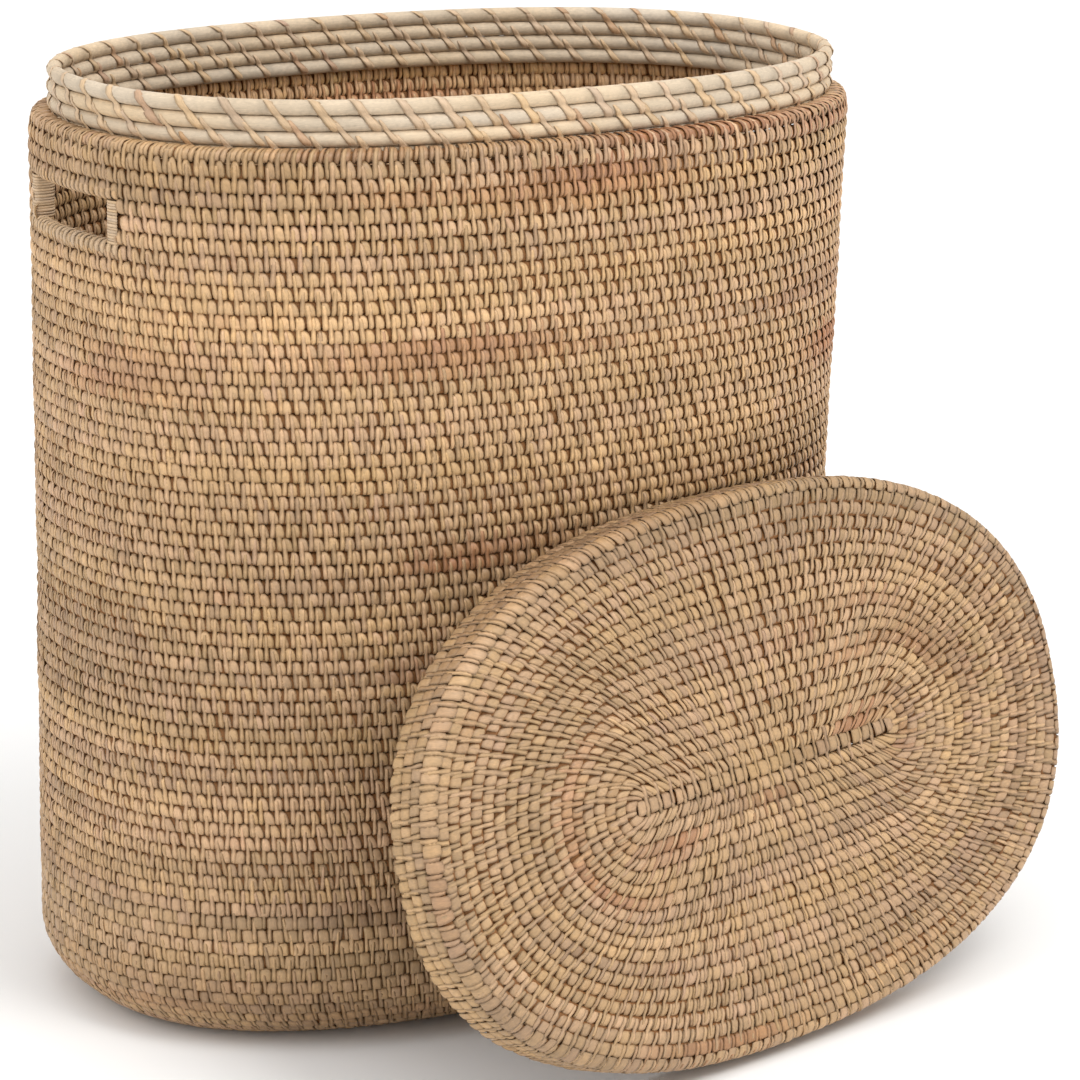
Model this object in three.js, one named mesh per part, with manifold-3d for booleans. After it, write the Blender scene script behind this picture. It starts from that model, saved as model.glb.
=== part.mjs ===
// Oval lidded laundry basket, coil-woven in rattan, with its lift-off lid leaning on its front wall.
// Millimetres, +Z up. The origin is on the floor at the middle of the basket's base.
// +X runs along the long axis of the oval, -Y is the front that the lid leans on.
import * as THREE from 'three';
import { mergeVertices } from 'three/addons/utils/BufferGeometryUtils.js';
import Module from 'manifold-3d';

// ---------------------------------------------------------------- driving dimensions
const HALF_L = 270;        // half length of the oval at the shoulder
const HALF_W = 165;        // half width of the oval at the shoulder
const OVAL_N = 2.35;       // exponent of the oval (2 is an ellipse, higher is squarer)
const TAPER = 0.03;        // how much smaller the oval is at the floor
const RIM_Z = 576.4;         // top of the neck
const SHOULDER_Z = 549;  // top of the shoulder coil
const WALL_T = 8.5;        // thickness of one coil of the wall
const BASE_R = 46;         // radius of the turn between the base and the wall
const GAP = 0.3;           // gap between touching pieces
const CANE_R = 4.4;        // radius of a neck cane
const CANE_PITCH = 9.1;    // height step between neck canes
const CANE_INSET = 14.9;   // neck cane centre line, in from the shoulder's outer face
const HOLE_W = 41;         // half width of a handle opening
const HOLE_LO = 488;     // bottom of a handle opening
const HOLE_HI = 514.6;     // top of a handle opening
const WRAP_T = 8.6;        // height of the wrapped coil above and below an opening
const JAMB_W = 9;          // width of the wrapped jamb at each side of an opening
const JAMB_T = 13;         // thickness of a wrapped jamb, which stands proud inside the wall
const LID_HALF_L = 274.5;    // half length of the lid
const LID_HALF_W = 167.4;    // half width of the lid
const LID_DEPTH = 32;      // lid depth, from its top face to the skirt's lower edge
const LID_T = 7;           // thickness of the lid's flat spiral
const LID_AT = [84, -237.1]; // middle of the lid's top face in plan, where it leans
const LID_YAW = -0.1567;    // turn of the leaning lid about the vertical
const LID_TILT = 0.2623;    // how far the leaning lid lies back from upright
const LID_SPIN = 0.0339;    // turn of the lid's long axis in its own plane
const CORE_W = 9;          // width of the straight starter core of each spiral
const SEG = 48;            // facets round an oval

// ---------------------------------------------------------------- solids by boolean
const wasm = await Module();
wasm.setup();

function merged(geometry) {
  const g = geometry.clone();
  for (const name of Object.keys(g.attributes)) if (name !== 'position') g.deleteAttribute(name);
  return mergeVertices(g, 1e-4);
}

// a closed geometry whose faces point out, whichever way its profile ran
function outward(geometry) {
  const g = merged(geometry);
  const p = g.attributes.position, idx = g.index.array;
  const a = new THREE.Vector3(), b = new THREE.Vector3(), c = new THREE.Vector3();
  let v = 0;
  for (let i = 0; i < idx.length; i += 3) {
    a.fromBufferAttribute(p, idx[i]); b.fromBufferAttribute(p, idx[i + 1]); c.fromBufferAttribute(p, idx[i + 2]);
    v += a.dot(b.clone().cross(c));
  }
  if (v < 0) for (let i = 0; i < idx.length; i += 3) { const t = idx[i]; idx[i] = idx[i + 1]; idx[i + 1] = t; }
  return g;
}

function solid(geometry) {
  const g = outward(geometry);
  return new wasm.Manifold(new wasm.Mesh({
    numProp: 3,
    vertProperties: new Float32Array(g.attributes.position.array),
    triVerts: new Uint32Array(g.index.array),
  }));
}

function fromSolid(m) {
  const mesh = m.getMesh();
  const g = new THREE.BufferGeometry();
  const v = new Float32Array(mesh.numVert * 3);
  for (let i = 0; i < mesh.numVert; i++) for (let k = 0; k < 3; k++) v[i * 3 + k] = mesh.vertProperties[i * mesh.numProp + k];
  g.setAttribute('position', new THREE.BufferAttribute(v, 3));
  g.setIndex(new THREE.BufferAttribute(new Uint32Array(mesh.triVerts), 1));
  return g;
}

function block(x0, x1, y0, y1, z0, z1) {
  const g = new THREE.BoxGeometry(x1 - x0, y1 - y0, z1 - z0);
  g.translate((x0 + x1) / 2, (y0 + y1) / 2, (z0 + z1) / 2);
  return solid(g);
}

// ---------------------------------------------------------------- the oval
// directions round the oval, evenly spaced along its length, four-fold symmetric
const DIR = (() => {
  const at = (t) => {
    const c = Math.cos(t), s = Math.sin(t);
    return [Math.sign(c) * Math.abs(c) ** (2 / OVAL_N), Math.sign(s) * Math.abs(s) ** (2 / OVAL_N)];
  };
  const M = 6000, quarter = SEG / 4;
  const len = [0];
  let prev = at(0);
  for (let i = 1; i <= M; i++) {
    const q = at((Math.PI / 2) * (i / M));
    len.push(len[i - 1] + Math.hypot((q[0] - prev[0]) * HALF_L, (q[1] - prev[1]) * HALF_W));
    prev = q;
  }
  const first = [];
  let j = 0;
  for (let i = 0; i <= quarter; i++) {
    const want = (len[M] * i) / quarter;
    while (j < M && len[j] < want) j++;
    const q = at((Math.PI / 2) * (j / M));
    first.push(i === 0 ? [1, 0] : i === quarter ? [0, 1] : q);
  }
  const out = [];
  for (let i = 0; i < quarter; i++) out.push([first[i][0], first[i][1]]);
  for (let i = 0; i < quarter; i++) out.push([-first[quarter - i][0], first[quarter - i][1]]);
  for (let i = 0; i < quarter; i++) out.push([-first[i][0], -first[i][1]]);
  for (let i = 0; i < quarter; i++) out.push([first[quarter - i][0], -first[quarter - i][1]]);
  return out;
})();

const basketAxes = (z) => {
  const k = 1 - TAPER * (1 - Math.min(z, SHOULDER_Z) / SHOULDER_Z);
  return [HALF_L * k, HALF_W * k];
};
const lidAxes = () => [LID_HALF_L, LID_HALF_W];

// a ring round the oval: profile is a closed loop of [inset from the outer face, z]
function ring(profile, axes) {
  const pts = profile.map(([inset, z]) => new THREE.Vector2(1000 - inset, z));
  pts.push(pts[0].clone());
  const g = new THREE.LatheGeometry(pts, SEG);
  const p = g.attributes.position;
  for (let v = 0; v < p.count; v++) {
    const i = Math.floor(v / pts.length) % SEG, j = v % pts.length;
    const inset = 1000 - pts[j].x, z = pts[j].y;
    const [a, b] = axes(z);
    p.setXYZ(v, (a - inset) * DIR[i][0], (b - inset) * DIR[i][1], z);
  }
  return outward(g);
}

// a flat oval plate with a slot for the starter core of its spiral
function ovalPlate(a, b, slotHalf, slotR, z0, z1) {
  const shape = new THREE.Shape(DIR.map(([x, y]) => new THREE.Vector2(a * x, b * y)));
  shape.holes.push(stadium(slotHalf, slotR));
  const g = new THREE.ExtrudeGeometry(shape, { depth: z1 - z0, bevelEnabled: false });
  g.translate(0, 0, z0);
  return outward(g);
}

// a straight bar with round ends, as an outline
function stadium(half, r) {
  const s = [];
  for (let i = 0; i <= 8; i++) { const t = -Math.PI / 2 + (Math.PI * i) / 8; s.push(new THREE.Vector2(half + r * Math.cos(t), r * Math.sin(t))); }
  for (let i = 0; i <= 8; i++) { const t = Math.PI / 2 + (Math.PI * i) / 8; s.push(new THREE.Vector2(-half + r * Math.cos(t), r * Math.sin(t))); }
  return new THREE.Path(s);
}

function core(half, r, z0, z1) {
  const shape = new THREE.Shape(stadium(half, r).getPoints());
  const g = new THREE.ExtrudeGeometry(shape, { depth: z1 - z0, bevelEnabled: false });
  g.translate(0, 0, z0);
  return outward(g);
}

// rounded coil section of the wall's thickness, between two heights
function coilProfile(z0, z1, t, r) {
  return [[0, z0 + r], [r, z0], [t - r, z0], [t, z0 + r], [t, z1 - r], [t - r, z1], [r, z1], [0, z1 - r]];
}

// ---------------------------------------------------------------- finish
const straw = (name, geometry, color, roughness = 0.62) => {
  const mesh = new THREE.Mesh(geometry, new THREE.MeshStandardMaterial({ color, roughness, metalness: 0 }));
  mesh.name = name;
  return mesh;
};
const WALL = 0xa98a66, WRAP = 0xb39467, NECK = 0xc2ab8c, LID = 0xb0956b, CORE = 0xa5855a;

// ---------------------------------------------------------------- basket
const part = new THREE.Group();
const basket = new THREE.Group();
part.add(basket);

const baseA = basketAxes(0)[0] - BASE_R - GAP, baseB = basketAxes(0)[1] - BASE_R - GAP;
const baseSlot = baseA - baseB;
basket.add(straw('base_panel', ovalPlate(baseA, baseB, baseSlot, CORE_W / 2 + GAP, 0, WALL_T), WALL));
basket.add(straw('base_core', core(baseSlot, CORE_W / 2, 0, WALL_T), CORE));

// the turn: a quarter round outside, a smaller quarter round inside
const turn = [];
for (let i = 0; i <= 5; i++) { const t = (Math.PI / 2) * (i / 5); turn.push([BASE_R * (1 - Math.sin(t)), BASE_R * (1 - Math.cos(t))]); }
for (let i = 4; i >= 0; i--) { const t = (Math.PI / 2) * (i / 4), r = BASE_R - WALL_T; turn.push([BASE_R - r * Math.sin(t), BASE_R - r * Math.cos(t)]); }
basket.add(straw('base_turn', ring(turn, basketAxes), WALL));

const sillLo = HOLE_LO - WRAP_T, gripHi = HOLE_HI + WRAP_T;
const band = (z0, z1) => ring([[0, z0], [WALL_T, z0], [WALL_T, z1], [0, z1]], basketAxes);
basket.add(straw('wall_lower', band(BASE_R + GAP, sillLo - GAP), WALL));

// the courses level with the handle openings run round the front and the back only
const courses = solid(band(sillLo, gripHi));
const edge = HOLE_W + JAMB_W + GAP;
basket.add(straw('wall_handle_front', fromSolid(courses.intersect(block(-400, 400, -400, -edge, 0, 600))), WALL));
basket.add(straw('wall_handle_back', fromSolid(courses.intersect(block(-400, 400, edge, 400, 0, 600))), WALL));

const upperHi = SHOULDER_Z - WALL_T - GAP;
basket.add(straw('wall_upper', band(gripHi + GAP, upperHi), WALL));

// the shoulder coil closes the wall against the neck with a rounded outer corner
basket.add(straw('shoulder_coil', ring([
  [0, upperHi + GAP], [CANE_INSET - CANE_R - GAP, upperHi + GAP], [CANE_INSET - CANE_R - GAP, SHOULDER_Z],
  [6.4, SHOULDER_Z], [2.2, SHOULDER_Z - 1.6], [0, SHOULDER_Z - 5.0],
], basketAxes), WALL));

// neck: four canes stacked, three above the shoulder and one behind it
for (let n = 0; n < 4; n++) {
  const zc = RIM_Z - CANE_R - n * CANE_PITCH, profile = [];
  for (let k = 0; k < 8; k++) {
    const t = Math.PI / 8 + (Math.PI / 4) * k, r = CANE_R / Math.cos(Math.PI / 8);
    profile.push([CANE_INSET + r * Math.cos(t), zc + r * Math.sin(t)]);
  }
  const level = () => [HALF_L, HALF_W];
  basket.add(straw('neck_cane_' + (n + 1), ring(profile, level), NECK, 0.55));
}

// handle openings, one at each end of the long axis, each framed by four wrapped pieces
const sill = solid(ring(coilProfile(sillLo, HOLE_LO, WALL_T, 2), basketAxes));
const grip = solid(ring(coilProfile(HOLE_HI, gripHi, WALL_T, 2), basketAxes));
const jamb = solid(ring([[0, HOLE_LO + GAP], [JAMB_T, HOLE_LO + GAP], [JAMB_T, HOLE_HI - GAP], [0, HOLE_HI - GAP]], basketAxes));
const reach = HOLE_W + JAMB_W;
for (const [side, x0, x1] of [['left', -400, 0], ['right', 0, 400]]) {
  basket.add(straw(side + '_handle_sill', fromSolid(sill.intersect(block(x0, x1, -reach, reach, 0, 600))), WRAP));
  basket.add(straw(side + '_handle_grip', fromSolid(grip.intersect(block(x0, x1, -reach, reach, 0, 600))), WRAP));
  basket.add(straw(side + '_handle_jamb_front', fromSolid(jamb.intersect(block(x0, x1, -reach, -HOLE_W, 0, 600))), WRAP));
  basket.add(straw(side + '_handle_jamb_back', fromSolid(jamb.intersect(block(x0, x1, HOLE_W, reach, 0, 600))), WRAP));
}

// ---------------------------------------------------------------- lid, in its own frame: top face at z = 0, skirt below it
const lid = new THREE.Group();
const lidEdgeT = 9;
const panelA = LID_HALF_L - lidEdgeT - GAP, panelB = LID_HALF_W - lidEdgeT - GAP;
const lidSlot = panelA - panelB;
lid.add(straw('lid_panel', ovalPlate(panelA, panelB, lidSlot, CORE_W / 2 + GAP, -LID_T, 0), LID));
lid.add(straw('lid_core', core(lidSlot, CORE_W / 2, -LID_T, 0), CORE));
lid.add(straw('lid_edge_coil', ring([
  [lidEdgeT, 0], [lidEdgeT, -LID_T - 0.6], [0, -LID_T - 0.6], [0, -5.2], [1.6, -1.9], [4.8, -0.2],
], lidAxes), LID));
let z = -LID_T - 0.6 - GAP;
const lidCoil = (LID_DEPTH + z - 2 * GAP) / 3;
for (let n = 0; n < 3; n++) {
  lid.add(straw('lid_skirt_coil_' + (n + 1), ring(coilProfile(z - lidCoil, z, WALL_T, 1.6), lidAxes), LID));
  z -= lidCoil + GAP;
}

// the leaning pose: the top face looks out to the front and a little up
const normal = new THREE.Vector3(-Math.sin(LID_YAW) * Math.cos(LID_TILT), -Math.cos(LID_YAW) * Math.cos(LID_TILT), Math.sin(LID_TILT));
const level = new THREE.Vector3(Math.cos(LID_YAW), -Math.sin(LID_YAW), 0);
const rise = new THREE.Vector3().crossVectors(normal, level);
const longAxis = level.clone().multiplyScalar(Math.cos(LID_SPIN)).addScaledVector(rise, Math.sin(LID_SPIN));
const shortAxis = new THREE.Vector3().crossVectors(normal, longAxis);
lid.setRotationFromMatrix(new THREE.Matrix4().makeBasis(longAxis, shortAxis, normal));
lid.position.set(LID_AT[0], LID_AT[1], 0);
lid.updateMatrixWorld(true);
// its lowest point stands on the floor
let lowest = Infinity;
const q = new THREE.Vector3();
lid.traverse((m) => {
  if (!m.isMesh) return;
  const p = m.geometry.attributes.position;
  for (let i = 0; i < p.count; i++) lowest = Math.min(lowest, q.fromBufferAttribute(p, i).applyMatrix4(m.matrixWorld).z);
});
lid.position.z = -lowest;
part.add(lid);

export default part;
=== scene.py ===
import bpy
import math
import numpy as np
from mathutils import Matrix, Vector


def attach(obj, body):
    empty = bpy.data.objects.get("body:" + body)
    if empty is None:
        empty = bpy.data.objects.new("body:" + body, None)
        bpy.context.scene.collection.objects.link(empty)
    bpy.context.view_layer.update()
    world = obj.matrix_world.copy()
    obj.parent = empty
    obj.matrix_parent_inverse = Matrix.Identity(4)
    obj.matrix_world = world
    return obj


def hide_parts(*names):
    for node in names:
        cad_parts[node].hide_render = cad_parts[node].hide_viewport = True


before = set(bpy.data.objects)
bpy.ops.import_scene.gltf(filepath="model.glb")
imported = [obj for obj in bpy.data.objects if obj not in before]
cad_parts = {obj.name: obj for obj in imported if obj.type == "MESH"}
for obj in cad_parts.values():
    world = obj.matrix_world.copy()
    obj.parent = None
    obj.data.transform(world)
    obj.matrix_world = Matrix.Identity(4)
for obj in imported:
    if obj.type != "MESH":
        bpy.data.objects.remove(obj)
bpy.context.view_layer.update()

# ----------------------------------------------------------------------------------------
# Oval laundry basket, coil woven. Lengths below are in millimetres; meshes are written in metres.
# The same driving dimensions as the CAD part.
# ----------------------------------------------------------------------------------------
HALF_L, HALF_W, OVAL_N = 270.0, 165.0, 2.35
TAPER, RIM_Z, SHOULDER_Z = 0.03, 576.4, 549.0
WALL_T, BASE_R = 8.5, 46.0
CANE_R, CANE_PITCH, CANE_INSET = 4.4, 9.1, 14.9
HOLE_HALF, HOLE_LO, HOLE_HI = 41.0, 488.0, 514.6
SILL_LO, GRIP_HI = 479.4, 523.2
LID_HALF_L, LID_HALF_W, LID_DEPTH = 274.5, 167.4, 32.0
LID_CORE = 107.1
BASE_CORE = 101.85

COLS = 720            # samples round a ring
SUB = 4               # samples along a coil row


def taper(z):
    return 1.0 - TAPER * (1.0 - np.minimum(z, SHOULDER_Z) / SHOULDER_Z)


def even(x, y, count):
    """Points spaced evenly by length along the closed line x, y, starting from its first point."""
    d = np.hypot(np.diff(np.append(x, x[0])), np.diff(np.append(y, y[0])))
    s = np.concatenate([[0.0], np.cumsum(d)])
    t = np.arange(count) / count * s[-1]
    return np.interp(t, s, np.append(x, x[0])), np.interp(t, s, np.append(y, y[0])), s[-1]


def ring(a, b, straight=0.0, core=0.0):
    """A closed oval line, counter-clockwise from +X: a superellipse that turns into a stadium round a straight core."""
    t = np.linspace(0, 2 * math.pi, 4096, endpoint=False)
    c, s = np.cos(t), np.sin(t)
    x, y, length = even(a * np.sign(c) * np.abs(c) ** (2 / OVAL_N), b * np.sign(s) * np.abs(s) ** (2 / OVAL_N), COLS)
    if straight > 0:
        r = max(b, 0.3)
        cx = np.clip(c * 1.0, -1, 1)
        px = np.where(c >= 0, core, -core) + r * c
        # stadium: two half circles joined by straight lines
        q = np.linspace(0, math.pi / 2, 200)
        sx = np.concatenate([core + r * np.cos(q), np.linspace(core, -core, 400)[1:-1], -core - r * np.sin(q), -core - r * np.cos(q)[1:], np.linspace(-core, core, 400)[1:-1], core + r * np.sin(q)[:-1]])
        sy = np.concatenate([r * np.sin(q), np.full(398, r), r * np.cos(q), -r * np.sin(q)[1:], np.full(398, -r), -r * np.cos(q)[:-1]])
        x2, y2, l2 = even(sx, sy, COLS)
        x, y = x * (1 - straight) + x2 * straight, y * (1 - straight) + y2 * straight
        length = length * (1 - straight) + l2 * straight
    return x, y, length


def table(profile, s_first, s_last, flip):
    """A surface sampled in coil rows. profile(s) gives (a, b, z, straight, core) for row coordinate s.
    flip runs the columns clockwise, so that the face that looks at the viewer is always the one with s down and u to the right."""
    n = int(round((s_last - s_first) * SUB)) + 1
    ss = np.linspace(s_first, s_last, n)
    P = np.zeros((n, COLS, 3))
    L = np.zeros(n)
    for k, s in enumerate(ss):
        a, b, z, w, core = profile(s)
        x, y, L[k] = ring(a, b, w, core)
        if flip:
            x, y = np.roll(x[::-1], 1), np.roll(y[::-1], 1)
        P[k, :, 0], P[k, :, 1], P[k, :, 2] = x, y, z
    Tu = np.roll(P, -1, 1) - np.roll(P, 1, 1)
    Ts = np.gradient(P, axis=0)
    N = np.cross(Ts, Tu)
    N /= np.linalg.norm(N, axis=2, keepdims=True) + 1e-12
    return {"P": P, "N": N, "s0": s_first, "ds": (s_last - s_first) / (n - 1), "n": n, "L": L, "ss": ss}


def sample(T, s, u):
    k = np.clip((s - T["s0"]) / T["ds"], 0, T["n"] - 1.001)
    k0 = np.floor(k).astype(int)
    f = (k - k0)[..., None]
    j = np.mod(u, 1.0) * COLS
    j0 = np.floor(j).astype(int)
    g = (j - j0)[..., None]
    j0 %= COLS
    j1 = (j0 + 1) % COLS
    out = []
    for A in (T["P"], T["N"]):
        out.append((A[k0, j0] * (1 - g) + A[k0, j1] * g) * (1 - f) + (A[k0 + 1, j0] * (1 - g) + A[k0 + 1, j1] * g) * f)
    P, N = out
    N = N / (np.linalg.norm(N, axis=-1, keepdims=True) + 1e-12)
    return P, N


# ----------------------------------------------------------------------------------------
# seeded irregularity
# ----------------------------------------------------------------------------------------
def smooth_noise(seed, rows, cols, sig_r, sig_c):
    r = np.random.default_rng(seed)
    pad = int(4 * sig_r) + 2
    a = r.standard_normal((rows + 2 * pad, cols))
    fr = np.fft.fftfreq(a.shape[0])[:, None]
    fc = np.fft.fftfreq(a.shape[1])[None, :]
    k = np.exp(-2 * (math.pi ** 2) * ((fr * sig_r) ** 2 + (fc * sig_c) ** 2))
    a = np.real(np.fft.ifft2(np.fft.fft2(a) * k))[pad:pad + rows]
    return (a - a.mean()) / (a.std() + 1e-12)


# ----------------------------------------------------------------------------------------
# meshes
# ----------------------------------------------------------------------------------------
class Batch:
    """Collects closed strips and tubes into one mesh, with a colour and a strip coordinate at each vertex."""

    def __init__(self):
        self.v, self.start, self.idx, self.c, self.f, self.nv = [], [], [], [], [], 0

    def grid(self, V, colour, fib):
        """V (m, rows, around, 3): m closed strips, each a tube of rows x around points with end caps."""
        m, r, a, _ = V.shape
        if m == 0:
            return
        base = self.nv + np.arange(m)[:, None, None] * (r * a)
        jj, ii = np.meshgrid(np.arange(r - 1), np.arange(a), indexing="ij")
        i2 = (ii + 1) % a
        q = np.stack([jj * a + ii, (jj + 1) * a + ii, (jj + 1) * a + i2, jj * a + i2], -1).reshape(1, -1, 4)
        quads = (base + q).reshape(m, -1)
        cap0 = (base[:, 0, :] + np.arange(a)[None, :]).reshape(m, a)
        cap1 = (base[:, 0, :] + ((r - 1) * a + np.arange(a)[::-1])[None, :]).reshape(m, a)
        idx = np.concatenate([quads, cap0, cap1], 1)
        sizes = np.concatenate([np.full(q.shape[1], 4), [a, a]])
        per = idx.shape[1]
        st = np.concatenate([[0], np.cumsum(sizes)[:-1]])
        have = sum(len(x) for x in self.idx)
        self.start.append((have + np.arange(m)[:, None] * per + st[None, :]).ravel())
        self.idx.append(idx.ravel())
        self._points(V, colour, fib)

    def hoop(self, V, colour, fib):
        """V (m, rows, around, 3): m closed rings, joined at both ends."""
        m, r, a, _ = V.shape
        base = self.nv + np.arange(m)[:, None, None] * (r * a)
        jj, ii = np.meshgrid(np.arange(r), np.arange(a), indexing="ij")
        i2, j2 = (ii + 1) % a, (jj + 1) % r
        q = np.stack([jj * a + ii, j2 * a + ii, j2 * a + i2, jj * a + i2], -1).reshape(1, -1, 4)
        idx = (base + q).reshape(-1)
        have = sum(len(x) for x in self.idx)
        self.start.append(have + np.arange(len(idx) // 4) * 4)
        self.idx.append(idx)
        self._points(V, colour, fib)

    def _points(self, V, colour, fib):
        self.v.append(V.reshape(-1, 3))
        self.c.append(np.broadcast_to(colour, V.shape).reshape(-1, 3))
        self.f.append(np.broadcast_to(fib, V.shape).reshape(-1, 3))
        self.nv += V.shape[0] * V.shape[1] * V.shape[2]

    def build(self, name, material, body, nodes, matrix=None):
        v = np.concatenate(self.v)
        if matrix is not None:
            v = v @ matrix[:3, :3].T + matrix[:3, 3] * 1000.0
        v = (v * 0.001).astype(np.float32)
        idx = np.concatenate(self.idx).astype(np.int32)
        start = np.concatenate(self.start).astype(np.int32)
        me = bpy.data.meshes.new(name)
        me.vertices.add(len(v))
        me.vertices.foreach_set("co", v.ravel())
        me.loops.add(len(idx))
        me.loops.foreach_set("vertex_index", idx)
        me.polygons.add(len(start))
        me.polygons.foreach_set("loop_start", start)
        me.update(calc_edges=True)
        me.polygons.foreach_set("use_smooth", np.ones(len(start), bool))
        col = np.ones((len(v), 4), np.float32)
        col[:, :3] = np.concatenate(self.c)
        at = me.attributes.new("cane", "FLOAT_COLOR", "POINT")
        at.data.foreach_set("color", col.ravel())
        at = me.attributes.new("fib", "FLOAT_VECTOR", "POINT")
        at.data.foreach_set("vector", np.concatenate(self.f).astype(np.float32).ravel())
        me.update()
        o = bpy.data.objects.new(name, me)
        bpy.context.scene.collection.objects.link(o)
        me.materials.append(material)
        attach(o, body)
        if nodes:
            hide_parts(*nodes)
        return o


# ----------------------------------------------------------------------------------------
# the stitch: one wide lobe (the wrap) and one narrow raised strand beside it
# ----------------------------------------------------------------------------------------
W_V = np.array([-0.05, 0.06, 0.20, 0.45, 0.72, 0.92, 1.05])
W_L = np.array([0.08, 0.05, 0.04, 0.04, 0.06, 0.08, 0.12])
W_R = np.array([0.37, 0.48, 0.58, 0.665, 0.71, 0.70, 0.66])
W_RF = np.array([0.66, 0.71, 0.735, 0.74, 0.745, 0.74, 0.70])      # on the flat rows near the base and on the skirt
N_V = np.array([-0.95, -0.80, -0.55, -0.30, -0.08, 0.12, 0.35, 0.60, 0.82, 0.95, 1.05])
N_C = np.interp(N_V, [-0.95, -0.5, 0.0, 0.5, 1.05], [0.755, 0.80, 0.85, 0.88, 0.91])
N_W = np.interp(N_V, [-0.95, -0.7, -0.1, 0.3, 0.85, 1.05], [0.11, 0.155, 0.145, 0.165, 0.165, 0.13])
N_H = np.array([-1.9, -0.32, 0.14, 0.04, -0.62, -0.50, 0.0, 0.10, -0.50, -1.5, -2.6])


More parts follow.
